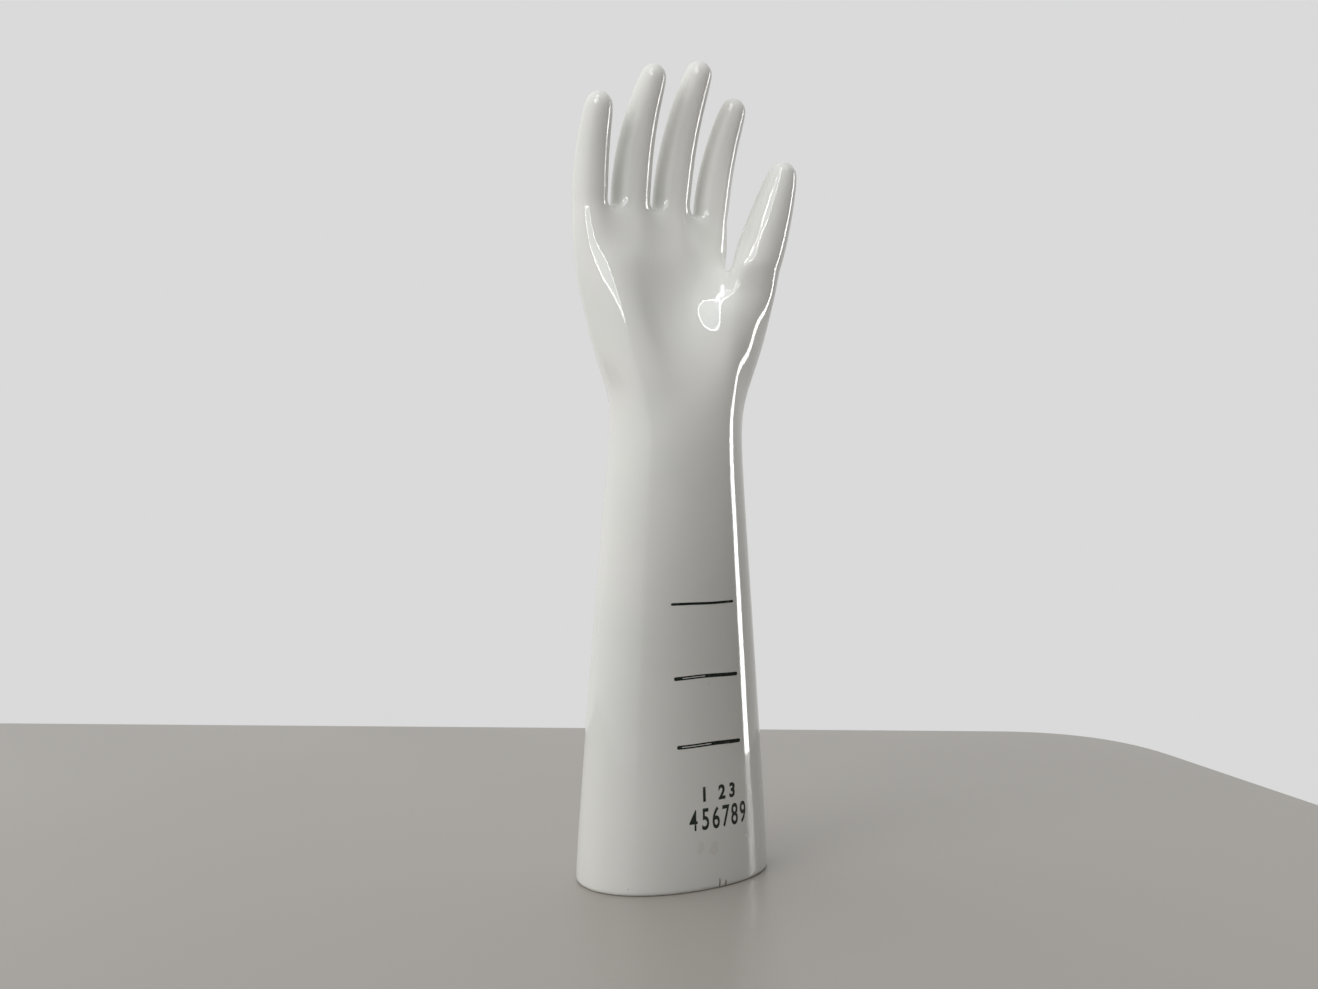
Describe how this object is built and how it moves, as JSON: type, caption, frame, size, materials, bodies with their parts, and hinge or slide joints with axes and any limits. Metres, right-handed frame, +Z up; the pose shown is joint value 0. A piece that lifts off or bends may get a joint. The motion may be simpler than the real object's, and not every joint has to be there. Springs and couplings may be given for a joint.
{
  "type": "hand jewelry stand",
  "caption": "White porcelain right hand on a flared forearm, a glove-dipping former that stands on its open foot and holds rings on its fingers and bracelets round its wrist.",
  "frame": {"origin": "middle of the bounding box, on the plane of the foot's rim that it stands on", "axes": "+Z up the forearm to the fingertips, palm and curled fingers towards -Y, thumb side towards +X"},
  "size_m": [0.109, 0.0712, 0.4112],
  "materials": {
    "glazed_porcelain": "gloss"
  },
  "bodies": {
    "root": {"hand_form": "glazed_porcelain"}
  },
  "joints": []
}
